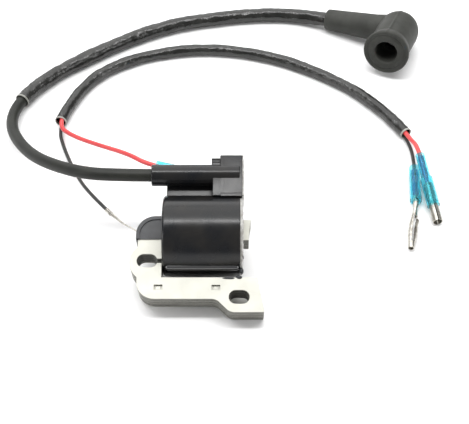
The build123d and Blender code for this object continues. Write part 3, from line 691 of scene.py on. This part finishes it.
def dimple(name, x, y):
    """The slanted tongue that the punch leaves in an interlock pocket."""
    left, right = x - TONGUE_HALF, x + TONGUE_HALF
    root_left, root_right = left - TONGUE_FLARE, right + TONGUE_FLARE
    front, back = y - DIMPLE[1] / 2, y + DIMPLE[1] / 2 - TONGUE_SHORT
    tip = TONGUE_LOW + TONGUE_THICK
    corners = [
        (root_left, front, TONGUE_TOP), (root_right, front, TONGUE_TOP),
        (right, back, tip), (left, back, tip),
        (root_left, front, TONGUE_LOW), (root_right, front, TONGUE_LOW),
        (right, back, TONGUE_LOW), (left, back, TONGUE_LOW),
    ]
    faces = [[0, 1, 2, 3], [7, 6, 5, 4], [0, 4, 5, 1], [1, 5, 6, 2], [2, 6, 7, 3], [3, 7, 4, 0]]
    mesh = bpy.data.meshes.new(name)
    mesh.from_pydata([place(*c) for c in corners], [], faces)
    made = add_object(name, cleaned(mesh), steel_face)
    edge = made.modifiers.new("edge", "BEVEL")
    edge.width = 0.06 * MM
    edge.segments = 2


for number, (x, y) in enumerate(DIMPLES):
    dimple(f"core_dimple_{number + 1}", x, y)

# ------------------------------------------------------------------ case
CASE_V, CASE_R, WALL = -0.5, 16.3, 1.6
CASE_LEFT, CASE_RIGHT, BOX_RIGHT = 25.2, 56.1, 57.0
LEFT_WALL_RIGHT, LEFT_WALL_R = 27.0, 13.5
LEG_OPENING = (-4.4, 4.4, -5.35, 5.35)
BOX, BOX_HOLLOW = (12.2, 30.3, -6.0, 11.5), (13.8, 28.7, -4.4, 9.9)
WEB, BOSS = (9.0, 22.0, 2.5, 5.5), (25.3, 29.2, 3.9, 10.8)
RIB_STARTS, LINE_STARTS = (25.6, 26.95, 28.3), (5.0, 7.2, 9.4)
TOWER_LEFT, TOWER_RIGHT, TOWER_R, TOWER_BORE, TOWER_END = 20.3, 56.0, 4.4, 2.85, 39.0
AXIS_OF_CASE = place(0, CASE_V, 0)
AXIS_OF_TOWER = place(0, TOWER_V, TOWER_N)


def case():
    """The black moulding: barrel, box, step, tower, web and boss."""
    barrel = turned(rounded([
        (CASE_LEFT, LEFT_WALL_R, 0), (CASE_LEFT, CASE_R, 1.3), (CASE_RIGHT, CASE_R, 0.35),
        (CASE_RIGHT, CASE_R - WALL, 0.3), (LEFT_WALL_RIGHT, CASE_R - WALL, 0),
        (LEFT_WALL_RIGHT, LEFT_WALL_R, 0),
    ]), AXIS_OF_CASE, X, 160)
    end_wall = plate_mesh(
        [circle(CASE_V, 0, 14.3), rectangle(*LEG_OPENING)],
        CASE_LEFT + 0.01, LEFT_WALL_RIGHT, SECTION,
    )
    box = plate_mesh(
        [rectangle(*BOX, 0.7), rectangle(*BOX_HOLLOW, 0.5)], 49.4, BOX_RIGHT, SECTION, 0.25
    )
    box_wall = plate_mesh([rectangle(*BOX, 0.7)], 48.0, 49.9, SECTION, 0.3)
    step_outline = rectangle(BOX[0], TOWER_V, 0.0, BOX[3], 0.4)
    step = plate_mesh([step_outline], 45.0, 48.6, SECTION, 0.3)
    tower = turned(rounded([
        (TOWER_END, 0.0, 0), (TOWER_END, TOWER_BORE, 0), (TOWER_LEFT, TOWER_BORE, 0.3),
        (TOWER_LEFT, TOWER_R, 0.5), (TOWER_RIGHT, TOWER_R, 0.4), (TOWER_RIGHT, 0.0, 0),
    ]), AXIS_OF_TOWER, X, 72)
    web = plate_mesh([rectangle(*WEB, 0.3)], 26.4, 46.0, SECTION, 0.25)
    boss = plate_mesh([rectangle(*BOSS, 0.5)], 44.7, 48.6, SECTION, 0.3)
    ribs = [
        plate_mesh([rectangle(v, v + 0.6, 4.2, 11.1, 0.2)], 44.55, 48.4, SECTION, 0.12)
        for v in RIB_STARTS
    ]
    lines = [
        plate_mesh([rectangle(11.98, 12.4, n, n + 0.35, 0.1)], 48.5, 56.7, SECTION, 0.06)
        for n in LINE_STARTS
    ]
    bead = plate_mesh([rectangle(12.0, 13.6, 10.9, 11.62, 0.25)], 48.2, 56.9, SECTION, 0.12)
    mesh = joined([barrel, end_wall, box, box_wall, step, tower, web, boss, bead] + ribs + lines)
    return add_object("case_moulding", soften(mesh, 32), case_plastic)


case_moulding = case()
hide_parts("coil_case")


BEAD_ANGLE, BEAD_REACH, BEAD_R = radians(162), CASE_R - 0.6, 1.5
BEAD_SHARES = (
    (26.4, 0.4), (26.7, 0.75), (27.4, 1.0), (54.8, 1.0), (55.3, 0.75), (55.6, 0.4),
)


def mould_ridge():
    """The low bead along the barrel's front, where the mould's halves met."""
    v, n = CASE_V + BEAD_REACH * cos(BEAD_ANGLE), BEAD_REACH * sin(BEAD_ANGLE)
    rings = []
    for u, share in BEAD_SHARES:
        rings.append([place(u, *p) for p in circle(v, n, share * BEAD_R, 24)])
    mesh = cleaned(skin(rings, closed_ends=True))
    add_object("case_mould_ridge", soften(mesh, 50), case_bead)


mould_ridge()

# ------------------------------------------------------------------ cap
cap = frame["nodes"]["core_corner_cap"]
cap_edge = cap.modifiers.new("edge", "BEVEL")
cap_edge.width = 0.25 * MM
cap_edge.segments = 3
cap_edge.limit_method = "ANGLE"
cap_edge.angle_limit = radians(50)


# ------------------------------------------------------------------ resin at the open end, and dark lumps below it
RAGGED_REACH = 18
PATCH_RINGS = 18
BLOB_RINGS, BLOB_STEPS = 9, 16


def ragged(outline, size, seed):
    """The outline with its points moved in and out by noise."""
    moved = []
    for v, n in outline:
        coarse = noise.noise(Vector((v * 1.3, n * 1.3, seed)))
        fine = noise.noise(Vector((v * 4, n * 4, seed)))
        push = size * (coarse + 0.6 * fine)
        moved.append((v * (1 + push / RAGGED_REACH), n * (1 + push / RAGGED_REACH)))
    return moved


def fine_rectangle(v0, v1, n0, n1, steps=36):
    """A rectangle's outline with many points along each side."""
    corners = [Vector((v0, n0)), Vector((v1, n0)), Vector((v1, n1)), Vector((v0, n1))]
    found = []
    for i in range(4):
        for j in range(steps):
            found.append(tuple(corners[i].lerp(corners[(i + 1) % 4], j / steps)))
    return found


def lumpy_patch(outline, centre, u_edge, rise, seed):
    """A cast surface over an outline of (v, n) points, bulging to the right."""
    rings = []
    shift = Vector((seed * 5.3, seed * 2.1, 0))
    for depth in (-1.2, 0.0):
        ring = []
        for v, n in outline:
            lump = 0.5 * noise.noise(Vector((v, n, 0)) * 1.1 + shift)
            ring.append(place(u_edge + depth + lump * (depth == 0), v, n))
        rings.append(ring)
    for i in range(PATCH_RINGS):
        share = 0.985 - i / PATCH_RINGS
        ring = []
        for v, n in outline:
            in_v = centre[0] + (v - centre[0]) * share
            in_n = centre[1] + (n - centre[1]) * share
            spot = Vector((in_v * 0.55, in_n * 0.55, 0)) + shift
            lump = 0.35 * noise.noise(spot) + 0.18 * noise.noise(spot * 3)
            by_leg = abs(in_v) < LEG_HALF + 1.0 and abs(in_n) < STACK_HALF + 1.0
            bulge = -0.9 if by_leg else rise * (1.0 - 0.8 * share**5)
            ring.append(place(u_edge + bulge + lump, in_v, in_n))
        rings.append(ring)
    return cleaned(skin(rings, closed_ends=True))


add_object("resin_face", soften(joined([
    lumpy_patch(ragged(circle(CASE_V, 0, 15.75, 150), 0.3, 4), (CASE_V, 0), 56.8, 0.45, 4),
    lumpy_patch(ragged(fine_rectangle(12.6, 29.9, -5.6, 11.1), 0.25, 9), (21.0, 2.7), 57.3, 0.3, 9),
]), 60), resin)


def blob(u, v, n, size, seed):
    """A small lump with a wobbly surface."""
    rings = []
    for i in range(BLOB_RINGS):
        polar = pi * (i + 0.5) / BLOB_RINGS
        ring = []
        for j in range(BLOB_STEPS):
            a = 2 * pi * j / BLOB_STEPS
            wobble = 1 + 0.25 * noise.noise(Vector((cos(a) + seed, sin(a), polar)))
            ring.append(place(
                u + size[0] * sin(polar) * cos(a) * wobble,
                v + size[1] * sin(polar) * sin(a) * wobble,
                n + size[2] * cos(polar),
            ))
        rings.append(ring)
    return cleaned(skin(rings, closed_ends=True))


# Small dark lumps under the case's right end, by the lower leg's inner edge, coloured like the cap
# plastic.
add_object("dark_lumps", soften(joined([
    blob(51.6, -20.3, 5.3, (2.3, 0.4, 0.25), 2), blob(55.6, -19.9, 5.4, (1.2, 0.7, 0.4), 5),
    blob(56.6, -17.0, 4.4, (0.8, 1.3, 1.0), 7), blob(56.9, -12.2, 7.2, (0.6, 1.0, 1.2), 11),
]), 60), cap_plastic)


# ------------------------------------------------------------------ terminals and their sleeves
def vinyl_tube(name, body, node, profile, origin, axis):
    """A soft translucent sleeve from a closed (distance, radius) outline."""
    mesh = turned(profile, origin, axis, 48)
    line = axis.normalized()
    for vertex in mesh.vertices:
        offset = vertex.co - origin
        along = line * offset.dot(line)
        ripple = 1 + 0.025 * noise.noise(vertex.co * 420) - 0.02 * abs(noise.noise(along * 900))
        vertex.co = origin + along + (offset - along) * ripple
    made = add_object(name, soften(mesh, 50), vinyl_blue, body)
    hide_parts(node)
    return made


male_sleeve = vinyl_tube(
    "male_bullet_vinyl", "male_sleeve", "male_bullet_sleeve",
    rounded([(0.0, 2.12, 0.1), (0.0, 2.47, 0.12), (20.0, 2.47, 0.15), (20.0, 2.12, 0.1)]),
    Vector(MALE_START) * MM, MALE_AXIS,
)
female_sleeve = vinyl_tube(
    "female_bullet_vinyl", "female_sleeve", "female_bullet_sleeve",
    rounded([
        (0.0, 1.72, 0.1), (0.0, 2.07, 0.12), (11.3, 2.07, 1.0), (13.2, 2.72, 1.0),
        (27.7, 2.72, 0.15), (27.7, 2.37, 0.1), (13.3, 2.37, 0.4), (12.9, 1.72, 0.3),
    ]),
    Vector(FEMALE_START) * MM, FEMALE_AXIS,
)


def oval_sleeve():
    """The receptacle's flat vinyl sleeve, open at both ends."""
    thick, wide, wall = 4.4, 6.1, 0.35
    across = KILL_OUT.cross(STACK_UP).normalized()
    straight = (wide - thick) / 2

    def ring(distance, inset):
        made = []
        for j in range(40):
            a = 2 * pi * j / 40
            r = thick / 2 - inset
            n = r * sin(a) + (straight if sin(a) >= 0 else -straight)
            spot = KILL_ROOT + KILL_OUT * distance * MM
            spot = spot + (across * r * cos(a) + STACK_UP * n) * MM
            made.append(spot + across * 0.05 * MM * noise.noise(spot * 500))
        return made

    stations = [3.0 + 0.8 * i for i in range(31)]
    outside = [ring(s, 0.0) for s in stations]
    inside = [ring(s, wall) for s in reversed(stations)]
    mesh = cleaned(skin(outside + inside, loop=True))
    made = add_object("kill_terminal_vinyl", soften(mesh, 50), vinyl_blue, "kill_sleeve")
    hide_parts("kill_receptacle_sleeve")


oval_sleeve()

MALE_BEND = 20.5
BULLET_AXIS = Vector((-0.187, -0.982, -0.011)).normalized()
BULLET_START = Vector(on_axis(MALE_START, MALE_AXIS, MALE_BEND)) * MM


def shell_piece(origin, axis, stations, gap_angle, first_angle, steps=22):
    """A curved sheet about an axis: stations are (distance, outer radius, thickness)."""
    axis = axis.normalized()
    side = axis.cross(UP).normalized()
    other = axis.cross(side)
    half_gap = gap_angle / 2
    angles = arc_angles(first_angle + half_gap, first_angle + 2 * pi - half_gap, steps)
    rings = []
    for distance, radius, thickness in stations:
        centre = origin + axis * distance * MM
        ring = []
        for reach, order in ((radius, 1), (radius - thickness, -1)):
            for a in angles[::order]:
                ring.append(centre + (side * cos(a) + other * sin(a)) * reach * MM)
        rings.append(ring)
    return cleaned(skin(rings, closed_ends=True))


def shade_crimp(mesh, origin, axis, end):
    """Paints shade on the crimp, up to a distance in millimetres: a dark blue that stands in for
    the crimp seen in shade through the blue sleeve.
    """
    mesh.materials.append(tin_dark)
    for polygon in mesh.polygons:
        if (polygon.center - origin).dot(axis) < end * MM:
            polygon.material_index = 1


def male_terminal():
    """A rolled bullet: crimp wings on the wire, a narrow neck, and a split, sprung pin."""
    start = Vector(MALE_START) * MM
    crimp = shell_piece(start, MALE_AXIS, [
        (1.6, 1.3, 0.35), (2.0, 1.45, 0.35), (7.6, 1.45, 0.35), (8.2, 1.2, 0.35),
        (9.6, 1.2, 0.35), (10.2, 1.35, 0.35), (16.4, 1.35, 0.35), (17.2, 1.05, 0.35),
        (20.4, 1.2, 0.35),
    ], radians(24), radians(-90))
    neck = shell_piece(BULLET_START, BULLET_AXIS, [
        (-0.3, 1.2, 0.35), (2.6, 1.18, 0.35), (3.2, 0.95, 0.35), (6.4, 1.05, 0.35),
        (8.6, 1.35, 0.35),
    ], radians(40), radians(90))
    left = shell_piece(BULLET_START, BULLET_AXIS, [
        (8.2, 1.22, 0.3), (10.0, 1.6, 0.34), (13.0, 1.85, 0.36), (17.0, 2.05, 0.36),
        (20.0, 1.95, 0.36), (22.5, 1.6, 0.36), (24.0, 1.35, 0.34), (26.2, 1.32, 0.32),
    ], pi + radians(24), radians(180))
    right = shell_piece(BULLET_START, BULLET_AXIS, [
        (11.2, 2.25, 0.36), (12.4, 2.1, 0.36), (14.0, 1.75, 0.36), (17.0, 2.0, 0.36),
        (20.0, 1.95, 0.36), (22.5, 1.6, 0.36), (24.0, 1.35, 0.34), (26.2, 1.32, 0.32),
    ], pi + radians(50), radians(0))
    tip = shell_piece(BULLET_START, BULLET_AXIS, [
        (23.2, 1.42, 0.34), (24.0, 1.38, 0.34), (26.1, 1.34, 0.34), (26.3, 1.25, 0.25),
    ], radians(16), radians(0), 40)
    mesh = joined([crimp, neck, left, right, tip])
    made = add_object("male_bullet_terminal", soften(mesh, 45), tin)
    shade_crimp(mesh, start, MALE_AXIS, 18.2)
    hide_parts("male_bullet")


male_terminal()


def female_terminal():
    """A rolled socket: crimp wings on the wire, a link, and an open barrel with a seam."""
    start = Vector(FEMALE_START) * MM
    crimp = shell_piece(start, FEMALE_AXIS, [
        (1.0, 1.2, 0.3), (1.4, 1.35, 0.3), (5.6, 1.35, 0.3), (6.1, 1.1, 0.3),
        (7.4, 1.1, 0.3), (7.9, 1.3, 0.3), (11.8, 1.3, 0.3), (12.4, 0.95, 0.3),
        (15.4, 0.95, 0.3), (16.2, 1.7, 0.3), (16.6, 2.1, 0.33), (34.0, 2.1, 0.33),
        (35.4, 2.12, 0.33), (36.0, 2.05, 0.28),
    ], radians(14), radians(-90), 40)
    made = add_object("female_bullet_terminal", soften(crimp, 45), tin)
    shade_crimp(crimp, start, FEMALE_AXIS, 15.8)
    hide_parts("female_bullet")


female_terminal()

# ------------------------------------------------------------------ boot
HEAD_LENGTH, HEAD_R, MOUTH_R, MOUTH_BORE = 23.0, 10.0, 11.2, 5.35
MOUTH_DEPTH, CHAMBER_R, CHAMBER_BACK = 11.0, 4.8, -2.0
NECK_START, NECK_BORE, NECK_BORE_START = 5.8, 3.62, 8.0
STEM_LENGTH = (Vector(STEM_TIP) - Vector(ELBOW)).length
ELBOW_AT = Vector(ELBOW) * MM


def dome(radius, steps=12):
    """The round back of the boot's head, as (distance, radius) points."""
    return [(-radius * cos(a), radius * sin(a)) for a in arc_angles(0.02, pi / 2, steps)]


def boot():
    """The moulded rubber boot, with its head, lip, neck, mould seam and bores blended together."""
    head = turned(
        dome(HEAD_R - 0.05) + rounded([
            (17.2, HEAD_R - 0.15, 2.0), (21.0, MOUTH_R - 0.2, 1.2), (HEAD_LENGTH, MOUTH_R, 0.8),
            (HEAD_LENGTH, 9.6, 0), (HEAD_LENGTH - 0.5, 9.2, 0), (HEAD_LENGTH - 0.5, 8.7, 0),
            (HEAD_LENGTH, 8.3, 0), (HEAD_LENGTH, MOUTH_BORE, 0.9), (MOUTH_DEPTH, MOUTH_BORE, 0.2),
            (MOUTH_DEPTH, CHAMBER_R, 0.3), (CHAMBER_BACK, CHAMBER_R, 0.5),
        ]) + [(CHAMBER_BACK, 0.0)],
        ELBOW_AT, HEAD, 96,
    )
    neck = turned(rounded([
        (NECK_START, 0.0, 0), (NECK_START, 7.4, 0.5), (12.0, 6.55, 3.0), (STEM_LENGTH, 5.1, 0.7),
        (STEM_LENGTH, NECK_BORE, 0.3), (NECK_BORE_START, NECK_BORE, 0.2), (NECK_BORE_START, 0.0, 0),
    ]), ELBOW_AT, STEM, 80)
    side = STEM - HEAD * STEM.dot(HEAD)
    side.normalize()
    upper = side.cross(HEAD).normalized()
    upper = upper if upper.z > 0 else -upper
    path = [
        (HEAD_LENGTH - 0.3, MOUTH_R - 0.1), (20.5, MOUTH_R - 0.2), (17.5, HEAD_R), (8.0, HEAD_R),
    ]
    path += [(-HEAD_R * cos(a), HEAD_R * sin(a)) for a in arc_angles(pi / 2, 0.1, 14)]
    rings = []
    for distance, height in path:
        centre = ELBOW_AT + (HEAD * distance + upper * height) * MM
        outward = (upper * height + HEAD * min(distance, 0.0)).normalized()
        ring = []
        for across, lift in ((-0.5, -0.8), (-0.35, 0.22), (0.35, 0.22), (0.5, -0.8)):
            ring.append(centre + (side * across + outward * lift) * MM)
        rings.append(ring)
    seam = cleaned(skin(rings, closed_ends=True))
    mesh = joined([head, neck, seam])
    made = add_object("spark_plug_boot", mesh, boot_rubber, "boot")
    blend = made.modifiers.new("blend", "REMESH")
    blend.mode = "VOXEL"
    blend.voxel_size = 0.32 * MM
    blend.use_smooth_shade = True
    relax = made.modifiers.new("relax", "SMOOTH")
    relax.factor = 0.5
    relax.iterations = 5
    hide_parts("plug_boot")
    return made


boot_piece = boot()


# ------------------------------------------------------------------ floor and light
def floor():
    """A wide pale floor, just under the coil."""
    mesh = bpy.data.meshes.new("floor")
    half, z = 4.0, -0.00004
    corners = [(-half, -half, z), (half, -half, z), (half, half, z), (-half, half, z)]
    mesh.from_pydata(corners, [], [[0, 1, 2, 3]])
    made = bpy.data.objects.new("floor", mesh)
    bpy.context.collection.objects.link(made)
    paint = bpy.data.materials.new("floor_paint")
    paint.use_nodes = True
    shader = paint.node_tree.nodes["Principled BSDF"]
    shader.inputs["Base Color"].default_value = (0.93, 0.93, 0.93, 1)
    shader.inputs["Roughness"].default_value = 0.9
    shader.inputs["Specular IOR Level"].default_value = 0.1
    mesh.materials.append(paint)


def area_light(name, location, target, width, height, brightness):
    """A soft light of a given size; brightness is what a mirror would show of it."""
    data = bpy.data.lights.new(name, "AREA")
    data.shape = "RECTANGLE"
    data.size = width
    data.size_y = height
    data.energy = brightness * pi * width * height
    made = bpy.data.objects.new(name, data)
    made.location = location
    made.rotation_euler = (Vector(target) - Vector(location)).to_track_quat("-Z", "Y").to_euler()
    bpy.context.collection.objects.link(made)


floor()
area_light("overhead", (-0.1, 0.38, 0.90), (0, 0.08, 0), 1.5, 1.0, 2.1)
area_light("behind", (-0.3, 1.15, 0.60), (0, 0.05, 0), 1.6, 0.5, 2.2)
area_light("strip", (0.0, 0.03, 1.0), (0, 0.05, 0), 1.3, 0.10, 16.0)
area_light("left", (-1.3, -0.45, 0.55), (0, 0.0, 0), 0.5, 0.6, 4.5)
area_light("right", (1.3, -0.45, 0.55), (0, 0.0, 0), 0.5, 0.6, 4.5)

world = bpy.data.worlds.new("world")
world.use_nodes = True
world.node_tree.nodes["Background"].inputs["Color"].default_value = (1, 1, 1, 1)
world.node_tree.nodes["Background"].inputs["Strength"].default_value = 0.36
bpy.context.scene.world = world
bpy.context.scene.view_settings.view_transform = "Standard"
